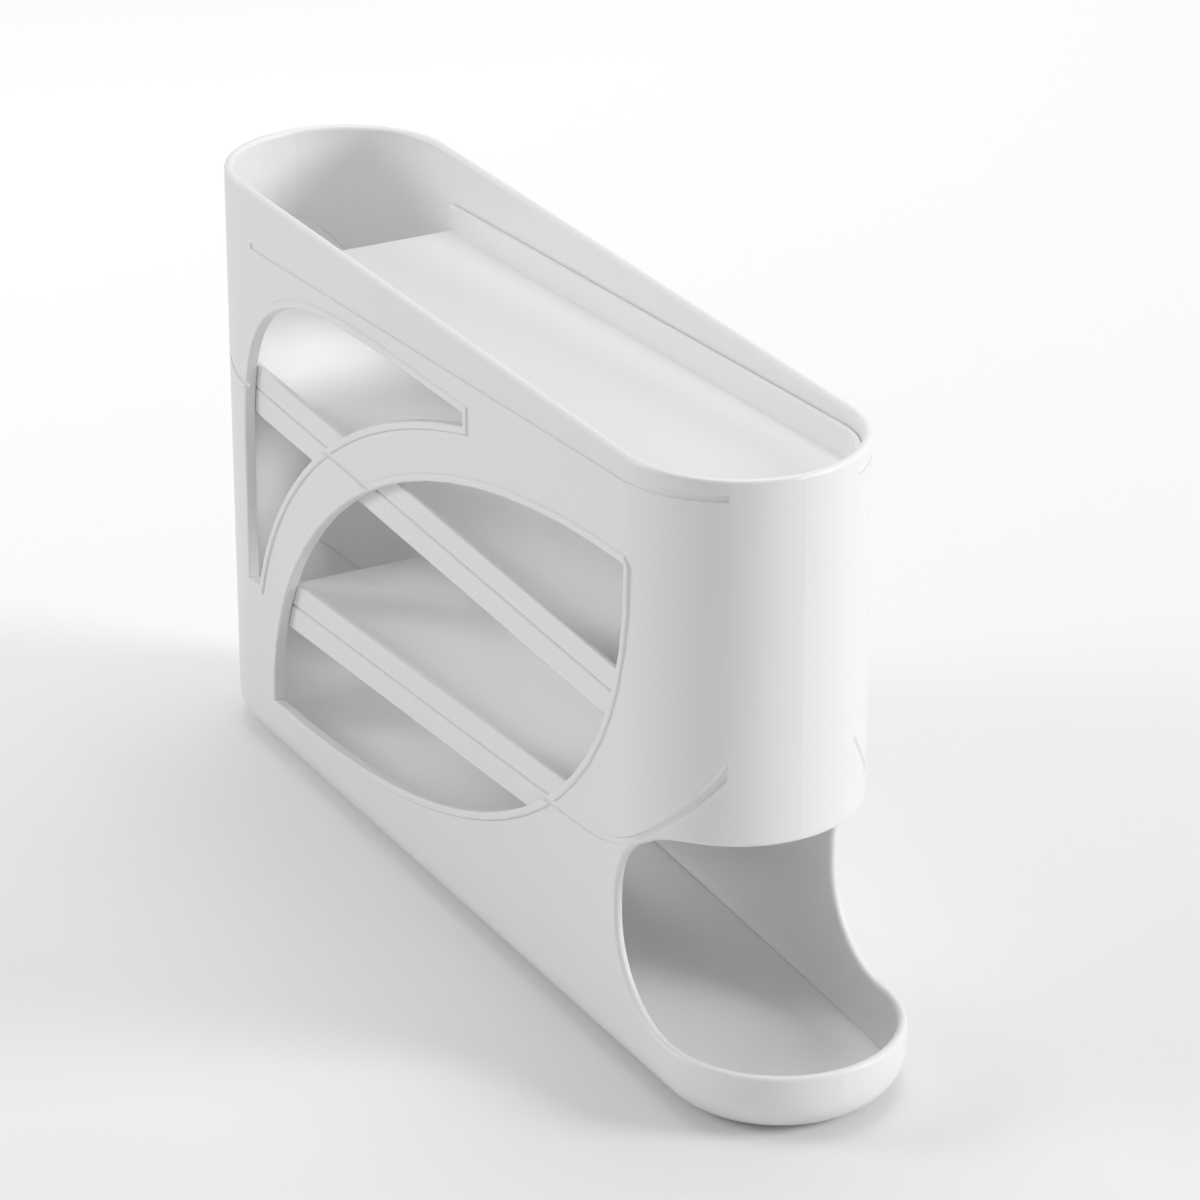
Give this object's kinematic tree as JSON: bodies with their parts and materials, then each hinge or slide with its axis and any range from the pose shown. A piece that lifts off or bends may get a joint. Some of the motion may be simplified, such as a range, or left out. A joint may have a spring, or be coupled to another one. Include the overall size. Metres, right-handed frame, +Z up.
{
  "type": "rolling egg organizer",
  "caption": "Narrow tower with rounded ends, an open top, leaf-shaped side windows and sloping inner ramps that roll eggs down to an open front tray.",
  "frame": {"origin": "centre of the overall box's bottom face, where the organizer rests", "axes": "+Z up; +Y along the length, from the open tray in front to the round rear wall; +X across the width"},
  "size_m": [0.0816, 0.382, 0.208],
  "materials": {
    "white_plastic": "smooth satin white moulded plastic"
  },
  "bodies": {
    "root": {"left_shell": "white_plastic", "right_shell": "white_plastic", "top_ramp": "white_plastic", "second_ramp": "white_plastic", "third_ramp": "white_plastic", "bottom_ramp": "white_plastic"}
  },
  "joints": []
}
